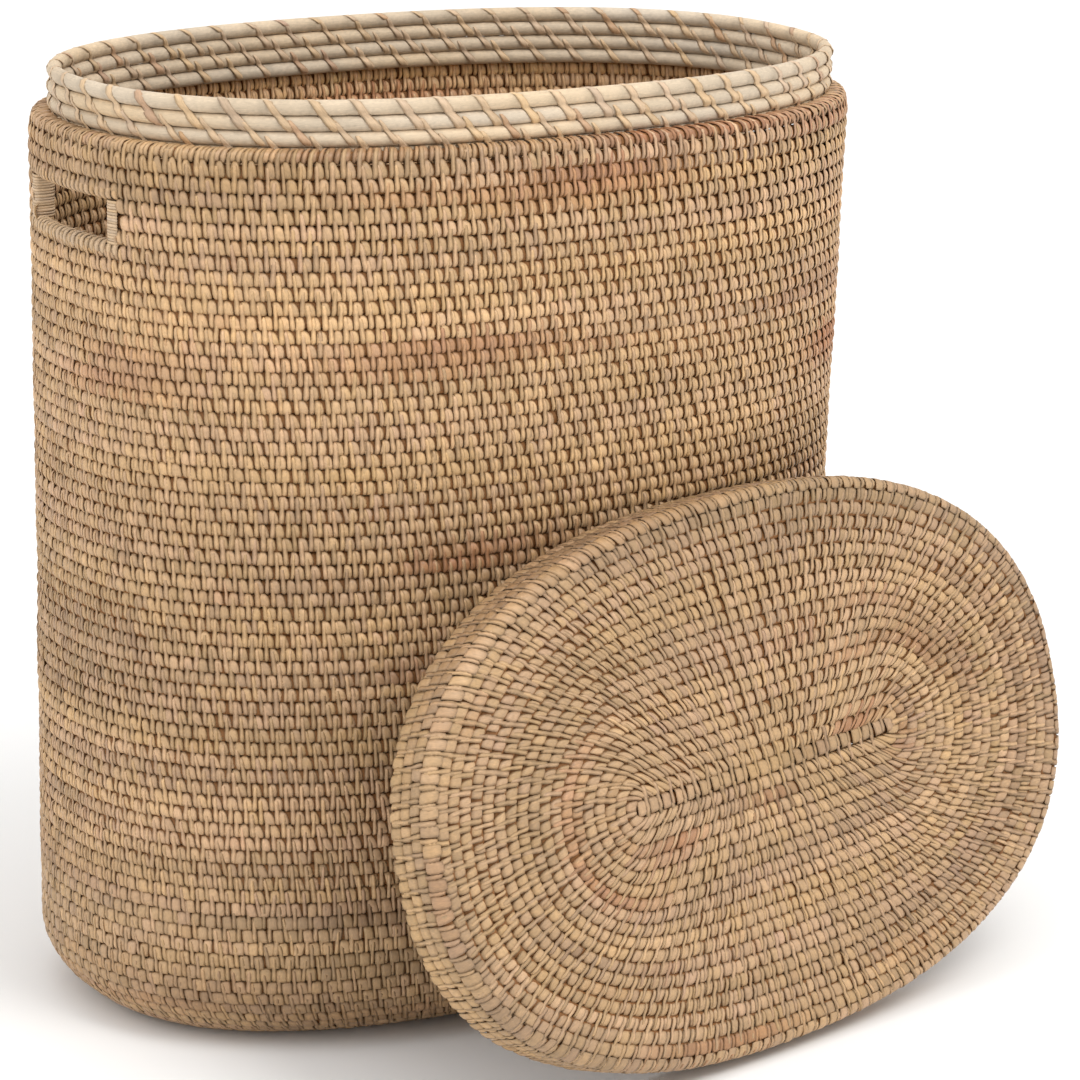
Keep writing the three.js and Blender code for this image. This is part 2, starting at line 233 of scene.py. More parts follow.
def stitch_rows(batch, T, rows, counts, phases, look, seed, keep=None, full=True, scale_h=1.0, cut=(), over=(), reach=None):
    """Adds the stitches of some coil rows. rows: row numbers; counts[r], phases[r]: stitches round the row and their offset.
    Rows in cut have no row above them, so their long strands start at their own top edge. The wide wraps of rows in over
    run on to the next row. With reach, only the long strands are made, and they end that far into the row."""
    for r in rows:
        n = counts[r]
        i = np.arange(n)
        uc = (i + phases[r]) / n                       # left edge of each cell, as a share of the ring
        mid = uc + 0.45 / n
        if keep is not None:
            P, _ = sample(T, np.full(n, r + 0.5), mid)
            sel = keep(r, P)
            if not sel.any():
                continue
            i, uc, mid = i[sel], uc[sel], mid[sel]
        m = len(i)
        rg = np.random.default_rng(seed * 1000 + r + 17)
        pitch = np.interp(r + 0.5, T["ss"], T["L"]) / n
        col, wave, hh = look(r, mid, rg)               # colour (m, 3), row wave in rows, height offset
        wave = wave + 0.02 * rg.standard_normal(m)
        flat = look.flat(r)
        # wide wrap
        pick = slice(None) if full else [0, 1, 3, 4, 6]
        V, Lf = W_V[pick], W_L[pick]
        Rt = (W_R * (1 - flat) + W_RF * flat)[pick]
        X = np.array([-1.0, -0.45, 0.05, 0.55, 1.0]) if full else np.array([-1.0, 0.1, 1.0])
        drop = np.where(X < 0, 0.22 * X ** 2, (0.95 - 0.5 * flat) * np.abs(X) ** 2.3)
        wv = 1 + 0.08 * rg.standard_normal(m)
        sh = 0.036 * rg.standard_normal(m)
        lean = 0.08 * rg.standard_normal(m)
        q = np.abs(2 * np.clip(V, 0, 1) - 1)
        if r in cut:
            q = np.where(V < 0.5, 0.0, q)
        if r in over:
            q = np.where(V > 0.5, 0.55 * q, q)
        arch = -0.05 - (1 - flat) * 1.75 * q ** 2.8 - flat * 1.15 * q ** 5 - 1.3 * (((V < 0) & (r not in cut)) | ((V > 1) & (r not in over)))
        cu = 0.5 * (Lf + Rt)
        hw = 0.5 * (Rt - Lf)
        ub = cu[None, :, None] + sh[:, None, None] + lean[:, None, None] * (V[None, :, None] - 0.5)
        u = ub + hw[None, :, None] * wv[:, None, None] * X[None, None, :]
        h = arch[None, :, None] * scale_h - drop[None, None, :] * scale_h + hh[:, None, None] + 0.13 * rg.standard_normal(m)[:, None, None]
        h = h + 0.10 * rg.standard_normal(m)[:, None, None] * X[None, None, :]
        hb = h[:, :, len(X) // 2:len(X) // 2 + 1] - 1.5
        u = np.concatenate([u, ub], 2)
        h = np.concatenate([h, hb], 2)
        vv = np.broadcast_to(V[None, :, None], u.shape) + wave[:, None, None]
        xx = np.broadcast_to(np.append(X, 0.0)[None, None, :], u.shape)
        P, N = sample(T, r + vv, uc[:, None, None] + u / n)
        pos = P + N * h[..., None]
        # painted shade: each wrap darkens towards its right edge and towards both ends, where it dips into the gaps
        edge = 1 - 0.22 * np.clip(xx, 0, 1) ** 3
        end = 1 - 0.22 * np.abs(2 * np.clip(vv - wave[:, None, None], 0, 1) - 1) ** 5
        c = col[:, None, None, :] * (edge * end)[..., None]
        ident = (i * 0.731 + r * 3.17) % 97.0
        fib = np.stack([xx * hw.mean() * pitch, np.broadcast_to(V[None, :, None], u.shape) * 9.2, np.broadcast_to(ident[:, None, None], u.shape)], -1)
        if reach is None:
            batch.grid(pos, c, fib)
        # long strand: beside the wrap above, over the groove, and down between two wraps
        pick = slice(None) if full else [1, 3, 5, 7, 10]
        V, C, Wd, Hh = N_V[pick], N_C[pick], N_W[pick], N_H[pick]
        Hh = Hh * (1 - 0.35 * flat * (V < 0.9)) - 0.05 * flat
        if r in cut:
            V = 0.02 + (V + 0.95) / 2.0 * 1.03
            C = np.interp(V, [-0.95, -0.5, 0.0, 0.5, 1.05], [0.755, 0.80, 0.85, 0.885, 0.92])
            Hh = np.interp(V, [0.02, 0.15, 0.4, 0.6, 0.82, 0.95, 1.05], [-1.0, -0.1, 0.1, 0.1, -0.5, -1.5, -2.6])
        if reach is not None:
            V = np.linspace(-0.95, reach, len(V))
            C, Wd = np.interp(V, N_V, N_C), np.interp(V, N_V, N_W)
            Hh = np.interp(V, [-0.95, -0.80, -0.55, -0.30, -0.08, 0.12, reach - 0.12, reach], [-1.9, -0.32, 0.14, 0.04, -0.45, -0.30, -0.35, -1.9])
        X = np.array([-1.0, 0.0, 1.0])
        upper = np.clip(-V / 0.3, 0, 1)
        dl = 0.36 + 0.20 * upper
        dr = 0.40 - 0.30 * upper
        wv = 1 + 0.11 * rg.standard_normal(m)
        sh = 0.028 * rg.standard_normal(m)
        lean = 0.05 * rg.standard_normal(m)
        hgt = Hh[None, :, None] * scale_h - (dl[:, None] * (X[None, :] < 0) + dr[:, None] * (X[None, :] > 0))[None] + hh[:, None, None] + 0.11 * rg.standard_normal(m)[:, None, None]
        cu = C[None, :, None] + sh[:, None, None] + lean[:, None, None] * (V[None, :, None] - 0.2)
        u = cu + Wd[None, :, None] * wv[:, None, None] * X[None, None, :]
        hb = hgt[:, :, 1:2] - 1.2
        u = np.concatenate([u, cu], 2)
        h = np.concatenate([hgt, hb], 2)
        vv = np.broadcast_to(V[None, :, None], u.shape) + wave[:, None, None]
        xx = np.broadcast_to(np.append(X, 0.0)[None, None, :], u.shape)
        P, N = sample(T, r + vv, uc[:, None, None] + u / n)
        pos = P + N * h[..., None]
        # painted shade: each long strand darkens at both edges, where it crosses the groove between rows, and towards
        # its lower end
        edge = 1 - 0.20 * np.abs(xx) ** 3
        end = 1 - 0.32 * np.clip((vv - wave[:, None, None] - 0.72) / 0.33, 0, 1) ** 2 - 0.20 * np.exp(-((vv - wave[:, None, None] - 0.02) / 0.12) ** 2)
        tone = 1.03 + 0.05 * rg.standard_normal(m)
        c = col[:, None, None, :] * (edge * end)[..., None] * tone[:, None, None, None]
        fib = np.stack([xx * 0.14 * pitch, np.broadcast_to(V[None, :, None], u.shape) * 9.2, np.broadcast_to((ident + 41.3)[:, None, None], u.shape)], -1)
        batch.grid(pos, c, fib)


# sRGB to linear
def lin(r, g, b):
    c = np.array([r, g, b]) / 255.0
    return np.where(c <= 0.04045, c / 12.92, ((c + 0.055) / 1.055) ** 2.4)


TONES = {
    "cane": lin(199, 163, 122),
    "pale": lin(211, 190, 162),
    "yellow": lin(204, 165, 113),
    "pink": lin(202, 163, 132),
    "red": lin(163, 104, 68),
    "brown": lin(150, 110, 74),
}


def looker(rows, cells, seed, base="cane", bright=1.0, red=1.0, flat_rows=None, wave_amp=0.07, painted_row_shading=lambda r: 1.0):
    """Colour, row wave and height for each stitch, correlated along the coil as one strip of cane is."""
    a1 = smooth_noise(seed + 1, rows, cells, 0.35, 7)
    a2 = smooth_noise(seed + 2, rows, cells, 0.4, 9)
    a3 = smooth_noise(seed + 3, rows, cells, 0.45, 5)
    a4 = smooth_noise(seed + 4, rows, cells, 3.0, 22)
    a5 = smooth_noise(seed + 5, rows, cells, 2.2, 12)
    a6 = smooth_noise(seed + 6, rows, cells, 1.2, 8)

    def at(a, r, u):
        x = np.mod(u, 1.0) * cells
        j = np.floor(x).astype(int) % cells
        f = x - np.floor(x)
        return a[r, j] * (1 - f) + a[r, (j + 1) % cells] * f

    def look(r, u, rg):
        r = min(max(r, 0), rows - 1)
        m = len(u)
        b = 1 + 0.075 * at(a1, r, u) + 0.05 * at(a4, r, u) + 0.065 * rg.standard_normal(m)
        hue = 0.8 * at(a2, r, u) + 0.75 * rg.standard_normal(m)
        y = np.clip(0.22 * hue + 0.10, 0, 0.8)[:, None]
        p = np.clip(-0.22 * hue + 0.05, 0, 0.8)[:, None]
        c = TONES[base] * (1 - y - p) + TONES["yellow"] * y + TONES["pink"] * p
        k = np.clip((at(a3, r, u) * 0.8 + 0.55 * at(a5, r, u) - 1.15) * 0.55, 0, 0.75) * red
        k = np.clip(k + 0.12 * (rg.random(m) < 0.03), 0, 0.85)[:, None]
        c = c * (1 - k) + TONES["red"] * k
        d = np.clip((at(a6, r, u) - 1.1) * 0.4, 0, 0.5)[:, None]
        c = c * (1 - d) + TONES["brown"] * d
        # the last factor scales each row's colour by its height on the wall: painted shade on the outer face, painted
        # light on the inner face
        c = c * (np.clip(b, 0.7, 1.3) * bright * painted_row_shading(r))[:, None]
        return np.clip(c, 0.01, 0.95), wave_amp * at(a4, r, u), 0.22 * at(a6, r, u)

    look.flat = (lambda r: 0.0) if flat_rows is None else flat_rows
    return look


# ----------------------------------------------------------------------------------------
# materials
# ----------------------------------------------------------------------------------------
def cane_material(name, roughness, bump, streak, spec=0.5, along=0.35, across=3.2, sheen=0.0):
    mat = bpy.data.materials.new(name)
    mat.use_nodes = True
    nt = mat.node_tree
    nt.nodes.clear()
    out = nt.nodes.new("ShaderNodeOutputMaterial")
    bs = nt.nodes.new("ShaderNodeBsdfPrincipled")
    nt.links.new(bs.outputs["BSDF"], out.inputs["Surface"])
    col = nt.nodes.new("ShaderNodeAttribute")
    col.attribute_type, col.attribute_name = "GEOMETRY", "cane"
    fib = nt.nodes.new("ShaderNodeAttribute")
    fib.attribute_type, fib.attribute_name = "GEOMETRY", "fib"
    mp = nt.nodes.new("ShaderNodeMapping")
    mp.inputs["Scale"].default_value = (across, along, 1.0)
    nt.links.new(fib.outputs["Vector"], mp.inputs["Vector"])
    n1 = nt.nodes.new("ShaderNodeTexNoise")            # fibre streaks along the strip
    n1.inputs["Scale"].default_value = 1.0
    n1.inputs["Detail"].default_value = 3.0
    n1.inputs["Roughness"].default_value = 0.65
    nt.links.new(mp.outputs["Vector"], n1.inputs["Vector"])
    mp2 = nt.nodes.new("ShaderNodeMapping")
    mp2.inputs["Scale"].default_value = (0.55, 0.35, 0.7)
    nt.links.new(fib.outputs["Vector"], mp2.inputs["Vector"])
    n2 = nt.nodes.new("ShaderNodeTexNoise")            # blotches, nodes of the cane, worn wax
    n2.inputs["Scale"].default_value = 1.0
    n2.inputs["Detail"].default_value = 4.0
    nt.links.new(mp2.outputs["Vector"], n2.inputs["Vector"])
    r1 = nt.nodes.new("ShaderNodeMapRange")
    r1.inputs["From Min"].default_value, r1.inputs["From Max"].default_value = 0.3, 0.7
    r1.inputs["To Min"].default_value, r1.inputs["To Max"].default_value = 1 - streak, 1 + 0.7 * streak
    nt.links.new(n1.outputs["Fac"], r1.inputs["Value"])
    r2 = nt.nodes.new("ShaderNodeMapRange")
    r2.inputs["From Min"].default_value, r2.inputs["From Max"].default_value = 0.3, 0.7
    r2.inputs["To Min"].default_value, r2.inputs["To Max"].default_value = 0.88, 1.10
    nt.links.new(n2.outputs["Fac"], r2.inputs["Value"])
    mul = nt.nodes.new("ShaderNodeMath")
    mul.operation = "MULTIPLY"
    nt.links.new(r1.outputs["Result"], mul.inputs[0])
    nt.links.new(r2.outputs["Result"], mul.inputs[1])
    vm = nt.nodes.new("ShaderNodeVectorMath")
    vm.operation = "SCALE"
    nt.links.new(col.outputs["Color"], vm.inputs[0])
    nt.links.new(mul.outputs["Value"], vm.inputs["Scale"])
    nt.links.new(vm.outputs["Vector"], bs.inputs["Base Color"])
    r3 = nt.nodes.new("ShaderNodeMapRange")
    r3.inputs["From Min"].default_value, r3.inputs["From Max"].default_value = 0.25, 0.75
    r3.inputs["To Min"].default_value, r3.inputs["To Max"].default_value = roughness - 0.1, roughness + 0.14
    nt.links.new(n2.outputs["Fac"], r3.inputs["Value"])
    nt.links.new(r3.outputs["Result"], bs.inputs["Roughness"])
    bm = nt.nodes.new("ShaderNodeBump")
    bm.inputs["Strength"].default_value = bump
    bm.inputs["Distance"].default_value = 0.0004
    nt.links.new(n1.outputs["Fac"], bm.inputs["Height"])
    nt.links.new(bm.outputs["Normal"], bs.inputs["Normal"])
    bs.inputs["Specular IOR Level"].default_value = spec
    bs.inputs["Sheen Weight"].default_value = sheen
    return mat


M_WALL = cane_material("split_cane_wall", 0.45, 0.35, 0.16)
M_WRAP = cane_material("split_cane_wrap", 0.48, 0.35, 0.14)
M_NECK = cane_material("round_cane_neck", 0.60, 0.30, 0.13, along=0.10, across=2.6)
M_LID = cane_material("split_cane_lid", 0.50, 0.35, 0.16)
M_CORE = cane_material("core_cane_dark", 0.70, 0.30, 0.20)

# ----------------------------------------------------------------------------------------
# coil rows of the wall, from the ledge (row 0) to the middle of the base
# ----------------------------------------------------------------------------------------
N_LOW = 52
ROW_S = [1.0, 1.22, 1.45, 1.64, 1.78, 2.0]
ROW_Z = [549.2, 549.5, 549.2, 547.6, 545.0, 540.4]
ROW_I = [14.2, 9.0, 4.3, 1.5, 0.2, 0.0]
# straight part of the wall
WS = [2, 4, 5, 8, 9, 9 + N_LOW]
WZ = [540.4, GRIP_HI, HOLE_HI, HOLE_LO, SILL_LO, BASE_R]
S_TURN = 9 + N_LOW
N_TURN = 9
S_BASE = S_TURN + N_TURN
N_BASE = 13
S_END = S_BASE + N_BASE


def wall_profile(depth):
    """depth 0 is the outer face, WALL_T the inner one."""
    def at(s):
        if s < 2:
            inset = np.interp(s, [0.6] + ROW_S, [14.0] + ROW_I)
            z = np.interp(s, [0.6] + ROW_S, [545.0] + ROW_Z)
            k = taper(z)
            if depth > 0:
                return HALF_L * k - depth, HALF_W * k - depth, 549.0 - (s - 0.0) * 4.3, 0, 0
            return HALF_L * k - inset, HALF_W * k - inset, z, 0, 0
        if s <= S_TURN:
            z = np.interp(s, WS, WZ)
            k = taper(z)
            return HALF_L * k - depth, HALF_W * k - depth, z, 0, 0
        k0 = taper(BASE_R)
        r = BASE_R - depth
        if s <= S_BASE:
            q = (s - S_TURN) / N_TURN * math.pi / 2
            f = (s - S_TURN) / N_TURN
            z = BASE_R - r * math.sin(q)
            k = taper(z)
            a = HALF_L * k - BASE_R + r * math.cos(q)
            b = HALF_W * k - BASE_R + r * math.cos(q)
            return a, b, z, 0, 0
        f = min((s - S_BASE) / N_BASE, 1.0)
        a0, b0 = HALF_L * taper(0) - BASE_R, HALF_W * taper(0) - BASE_R
        b = b0 + (4.6 - b0) * f
        core = BASE_CORE
        a = a0 + (core + 4.6 - a0) * f
        z = depth if depth > 0 else 0.0
        w = 3 * f ** 2 - 2 * f ** 3
        return a, b, z, w, core
    return at


T_OUT = table(wall_profile(0.0), -0.5, S_END + 0.25, False)
T_IN = table(wall_profile(WALL_T), -0.5, S_END + 0.25, True)


def row_counts(T, first, last, pitch, fixed):
    """Stitches in each row: the same number up the wall, so that columns line up, and fewer as the rings shrink."""
    out = {}
    for r in range(first, last):
        L = np.interp(r + 0.5, T["ss"], T["L"])
        out[r] = fixed if fixed and abs(L / fixed - pitch) < 0.06 * pitch else max(int(round(L / pitch)), 8)
    return out


N_WALL = int(round(np.interp(20.5, T_OUT["ss"], T_OUT["L"]) / 9.28))
ROWS_OUT = row_counts(T_OUT, 0, S_END, 9.28, N_WALL)
ROWS_IN = row_counts(T_IN, 0, S_END, 9.28 * 0.955, N_WALL)
rgp = np.random.default_rng(5)
PH_OUT, PH_IN, ph, pi = {}, {}, 0.0, 0.0
for r in range(0, S_END):
    ph += 0.40 + 0.02 * rgp.standard_normal()
    pi += 0.40 + 0.02 * rgp.standard_normal()
    PH_OUT[r], PH_IN[r] = ph, pi


def flat_wall(r):
    return float(np.clip((r - 50) / 8.0, 0, 1))


# painted shade: the outer wall's stitches darken from row 26 down, 17% darker at row 56 and below
LOOK_OUT = looker(S_END + 1, N_WALL, 100, flat_rows=flat_wall, painted_row_shading=lambda r: 1 - 0.17 * float(np.clip((r - 26) / 30.0, 0, 1)))
# painted light: the inner wall's top rows are made 45% brighter, easing to painted shade 8% darker from row 8 down
LOOK_IN = looker(S_END + 1, N_WALL, 200, base="cane", painted_row_shading=lambda r: float(np.interp(r, [4, 8], [1.45, 0.92])))


def hand(P, margin):
    """True where a stitch lies within a hand opening's zone."""
    return np.abs(P[:, 1]) < margin


def keep_hole(r, P):
    if r in (5, 6, 7):
        return ~hand(P, 49.0)
    return np.ones(len(P), bool)


def front(P):
    return P[:, 1] < 0


def add_rows(name, T, rows, counts, phases, look, seed, nodes, slot="wall", mat=None, keep=None, body="basket", matrix=None, **kw):
    b = Batch()
    stitch_rows(b, T, rows, counts, phases, look, seed, keep, **kw)
    return b.build(name, mat or M_WALL, body, nodes, matrix)


def add_handle_rows(name, T, rows, counts, phases, look, seed, nodes, where):
    """As add_rows, but the row under an opening starts at its own top edge there."""
    b = Batch()
    stitch_rows(b, T, rows, counts, phases, look, seed, lambda r, P: keep_hole(r, P) & where(P) & ~((r == 8) & hand(P, 45.0)))
    stitch_rows(b, T, [8], counts, phases, look, seed, lambda r, P: where(P) & hand(P, 45.0), cut=(8,))
    return b.build(name, M_WALL, "basket", nodes)


add_rows("shoulder_weave", T_OUT, [1], ROWS_OUT, PH_OUT, LOOK_OUT, 1, ["shoulder_coil"], cut=(1,))
add_rows("wall_weave_upper", T_OUT, [2, 3], ROWS_OUT, PH_OUT, LOOK_OUT, 1, ["wall_upper"])
add_handle_rows("wall_weave_handle_front", T_OUT, [4, 5, 6, 7, 8], ROWS_OUT, PH_OUT, LOOK_OUT, 1, ["wall_handle_front"], front)
add_handle_rows("wall_weave_handle_back", T_OUT, [4, 5, 6, 7, 8], ROWS_OUT, PH_OUT, LOOK_OUT, 1, ["wall_handle_back"], lambda P: ~front(P))
for part, lo in enumerate(range(9, S_TURN, 8)):
    add_rows("wall_weave_lower_%d" % (part + 1), T_OUT, list(range(lo, min(lo + 8, S_TURN))), ROWS_OUT, PH_OUT, LOOK_OUT, 1, ["wall_lower"])
S_MID = (S_TURN + S_BASE) // 2
add_rows("base_turn_weave_1", T_OUT, list(range(S_TURN, S_MID)), ROWS_OUT, PH_OUT, LOOK_OUT, 1, ["base_turn"])
add_rows("base_turn_weave_2", T_OUT, list(range(S_MID, S_BASE)), ROWS_OUT, PH_OUT, LOOK_OUT, 1, ["base_turn"])
add_rows("base_weave_under", T_OUT, list(range(S_BASE, S_END)), ROWS_OUT, PH_OUT, LOOK_OUT, 1, ["base_panel", "base_core"], full=False)

# inside faces
TOP_IN = 14
add_rows("inside_weave_upper", T_IN, [2, 3, 4], ROWS_IN, PH_IN, LOOK_IN, 2, [], keep=keep_hole)
add_rows("inside_weave_mid_2", T_IN, list(range(10, TOP_IN)), ROWS_IN, PH_IN, LOOK_IN, 2, [])
add_handle_rows("inside_weave_mid_1", T_IN, list(range(5, 10)), ROWS_IN, PH_IN, LOOK_IN, 2, [], lambda P: np.ones(len(P), bool))
for part, lo in enumerate(range(TOP_IN, S_BASE, 12)):
    add_rows("inside_weave_low_%d" % (part + 1), T_IN, list(range(lo, min(lo + 12, S_BASE))), ROWS_IN, PH_IN, LOOK_IN, 2, [], full=False)
add_rows("inside_weave_base", T_IN, list(range(S_BASE, S_END)), ROWS_IN, PH_IN, LOOK_IN, 2, [], full=False)


# ----------------------------------------------------------------------------------------
# the core coil in each row, seen between the stitches; its dark brown is partly the core's own colour and partly
# painted shade of the gaps
# ----------------------------------------------------------------------------------------
CORE_AND_GAP_SHADE = lin(126, 82, 38)


def core_rows(name, Ta, Tb, rows, segs, body, nodes, gaps=None, matrix=None, flip_b=True, colour=CORE_AND_GAP_SHADE, half=4.75, skin=1.2):
    """One closed tube in each row, between the two faces Ta and Tb (Tb's columns run the other way round)."""
    b = Batch()
    for r in rows:
        u = np.arange(segs) / segs
        Pa, Na = sample(Ta, np.full(segs, r + 0.5), u)
        Pb, Nb = sample(Tb, np.full(segs, r + 0.5), np.mod(-u, 1.0) if flip_b else u)
        c = 0.5 * (Pa + Pb)
        out = Pa - Pb
        t = np.linalg.norm(out, axis=1, keepdims=True)
        out = out / t
        tan = np.roll(c, -1, 0) - np.roll(c, 1, 0)
        tan /= np.linalg.norm(tan, axis=1, keepdims=True)
        dn = np.cross(tan, out)
        rad = np.clip(t / 2 - skin, 1.0, 9.0)
        q = np.arange(8) / 8 * 2 * math.pi
        V = c[:, None, :] + out[:, None, :] * (rad[:, :, None] * np.cos(q)[None, :, None]) + dn[:, None, :] * (half * np.sin(q)[None, :, None])
        fib = np.stack([np.broadcast_to(q[None, :] * 3.0, (segs, 8)), np.broadcast_to(u[:, None] * 1300.0, (segs, 8)), np.full((segs, 8), float(r))], -1)
        if gaps is not None and r in gaps:
            ok = np.abs(c[:, 1]) > gaps[r]
            # two runs, front and back
            for run in (c[:, 1] < 0, c[:, 1] > 0):
                sel = np.where(ok & run)[0]
                br = np.where(np.diff(sel) > 1)[0]
                if len(br):
                    sel = np.concatenate([sel[br[0] + 1:], sel[:br[0] + 1]])
                b.grid(V[sel][None], colour, fib[sel][None])
        else:
            b.hoop(V[None], colour, fib[None])
    return b.build(name, M_CORE, body, nodes, matrix)


GAPS = {5: 45.0, 6: 45.0, 7: 45.0}
core_rows("wall_core_upper", T_OUT, T_IN, list(range(2, 30)), 200, "basket", [], gaps=GAPS)

# the shoulder's own core, under the long strips that turn over it
b = Batch()
sx_, sy_, _ = ring(HALF_L - 6.6, HALF_W - 6.6)
sc = np.stack([sx_, sy_], 1)[::4]
st_ = np.roll(sc, -1, 0) - np.roll(sc, 1, 0)
st_ /= np.linalg.norm(st_, axis=1, keepdims=True)
so = np.stack([st_[:, 1], -st_[:, 0]], 1)
q = np.arange(10) / 10 * 2 * math.pi
V = np.zeros((len(sc), 10, 3))
V[..., :2] = sc[:, None, :] + so[:, None, :] * (4.0 * np.cos(q))[None, :, None]
V[..., 2] = 544.6 - 3.6 * np.sin(q)[None, :]
fib = np.stack([np.broadcast_to(q[None, :] * 4.0, V.shape[:2]), np.broadcast_to(np.arange(len(sc))[:, None] * 7.0, V.shape[:2]), np.full(V.shape[:2], 1.0)], -1)
b.hoop(V[None], CORE_AND_GAP_SHADE, fib[None])
b.build("shoulder_core", M_CORE, "basket", [])
core_rows("wall_core_lower", T_OUT, T_IN, list(range(30, S_END)), 200, "basket", [])

# ----------------------------------------------------------------------------------------
# neck: four bare round canes and the slanting strips that bind them
# ----------------------------------------------------------------------------------------
CANE_Z = [RIM_Z - CANE_R - i * CANE_PITCH for i in range(4)]
cx, cy, NECK_LEN = ring(HALF_L - CANE_INSET, HALF_W - CANE_INSET)
ctr = np.stack([cx, cy], 1)
tn = np.roll(ctr, -1, 0) - np.roll(ctr, 1, 0)
tn /= np.linalg.norm(tn, axis=1, keepdims=True)
NECK_OUT = np.stack([tn[:, 1], -tn[:, 0]], 1)          # outward
N_TIE = int(round(NECK_LEN / 25.2))
TIE_STEP = 0.47
rgn = np.random.default_rng(31)
TIE_JIT = [rgn.normal(0, 0.035, N_TIE) for _ in range(5)]


def tie_u(k):
    """Middles of the bound places on cane k (1..4), as shares of the ring."""
    return (np.arange(N_TIE) + 0.1 + TIE_STEP * k + TIE_JIT[k]) / N_TIE


def neck_cane(k, name):
    segs, around = 960, 12
    u = np.arange(segs) / segs
    j = (u * COLS)
    j0 = np.floor(j).astype(int)
    f = (j - j0)[:, None]
    c = ctr[j0 % COLS] * (1 - f) + ctr[(j0 + 1) % COLS] * f
    n = NECK_OUT[j0 % COLS] * (1 - f) + NECK_OUT[(j0 + 1) % COLS] * f
    d = np.abs((u[:, None] - tie_u(k)[None, :] + 0.5) % 1.0 - 0.5).min(1) * NECK_LEN
    pinch = 0.55 * np.exp(-(d / 3.6) ** 2)
    bulge = 0.10 * np.cos(u * 2 * math.pi * 7 + k)
    q = np.arange(around) / around * 2 * math.pi
    rad = (CANE_R - 0.05 - pinch + bulge * 0.4)[:, None]
    V = np.zeros((segs, around, 3))
    V[..., 0] = c[:, None, 0] + n[:, None, 0] * rad * np.cos(q)
    V[..., 1] = c[:, None, 1] + n[:, None, 1] * rad * np.cos(q)
    V[..., 2] = CANE_Z[k - 1] + (0.35 * rad + 0.65 * CANE_R + 0.28) * np.sin(-q) + (0.08 * np.sin(u * 2 * math.pi * 5 + k * 1.7)[:, None] if k > 1 else 0.0)
    rg = np.random.default_rng(70 + k)
    tone = smooth_noise(70 + k, 1, segs, 0.01, 14)[0]
    hue = smooth_noise(80 + k, 1, segs, 0.01, 30)[0]
    col = 0.93 * TONES["pale"][None, :] * (1 + 0.05 * tone[:, None]) * (1 + 0.03 * hue[:, None] * np.array([1.0, 0.2, -1.2])[None, :])
    # painted shade: the cane is darkened where each tie binds and pinches it
    dark = 1 - 0.17 * np.exp(-(d / 4.2) ** 2)
    col = col * dark[:, None]
    fib = np.stack([np.broadcast_to(q[None, :] * CANE_R, (segs, around)), np.broadcast_to(u[:, None] * NECK_LEN, (segs, around)), np.full((segs, around), 7.3 * k)], -1)
    b = Batch()
    b.hoop(V[None], np.broadcast_to(col[:, None, :], V.shape)[None], fib[None])
    return b.build(name, M_NECK, "basket", ["neck_cane_%d" % k])


for k in (1, 2, 3, 4):
    neck_cane(k, "neck_round_cane_%d" % k)


def neck_table(outer):
    """Envelope of the stacked canes. s 0 is the very top of the first cane, s k the groove under cane k."""
    ss, off, zz = [], [], []
    n = 12
    for j in range(-n, 0):                              # from the far side over the top
        q = math.pi / 2 * (1 + (-j) / n)
        ss.append(j / n)
        off.append(CANE_R * math.cos(q))
        zz.append(CANE_Z[0] + CANE_R * math.sin(q))
    zt = RIM_Z
    m = 16
    for j in range(0, 4 * m + 1):
        s = j / m
        if s <= 0.5:
            q = math.pi / 2 * (1 - s / 0.5)
            o, z = CANE_R * math.cos(q), CANE_Z[0] + CANE_R * math.sin(q)
        else:
            z = CANE_Z[0] - (s - 0.5) * CANE_PITCH
            dz = z - CANE_Z[min(3, int(round((CANE_Z[0] - z) / CANE_PITCH)))]
            o = math.sqrt(max(CANE_R ** 2 - dz ** 2, 0.0))
            o = max(o, CANE_R - 1.9 + 0.5 * (o - (CANE_R - 1.9)) if o < CANE_R - 1.9 else o)
            o = max(o, CANE_R - 2.2)
        ss.append(s)
        off.append(o)
        zz.append(z)
    off, zz, ss = np.array(off), np.array(zz), np.array(ss)
    P = np.zeros((len(ss), COLS, 3))
    for i in range(len(ss)):
        sg = 1.0 if outer else -1.0
        P[i, :, :2] = ctr + NECK_OUT * off[i] * sg
        P[i, :, 2] = zz[i]
    if not outer:
        P = np.roll(P[:, ::-1], 1, 1)
    Tu = np.roll(P, -1, 1) - np.roll(P, 1, 1)
    Ts = np.gradient(P, axis=0)
    N = np.cross(Ts, Tu)
    N /= np.linalg.norm(N, axis=2, keepdims=True) + 1e-12
    # resample evenly in s
    se = np.linspace(-1, 4, 5 * 16 + 1)
    Pe = np.zeros((len(se), COLS, 3))
    Ne = np.zeros_like(Pe)
    k = np.interp(se, ss, np.arange(len(ss)))
    k0 = np.minimum(np.floor(k).astype(int), len(ss) - 2)
    f = (k - k0)[:, None, None]
    Pe = P[k0] * (1 - f) + P[k0 + 1] * f
    Ne = N[k0] * (1 - f) + N[k0 + 1] * f
    return {"P": Pe, "N": Ne, "s0": -1.0, "ds": 5 / (len(se) - 1), "n": len(se), "ss": se, "L": np.full(len(se), NECK_LEN)}


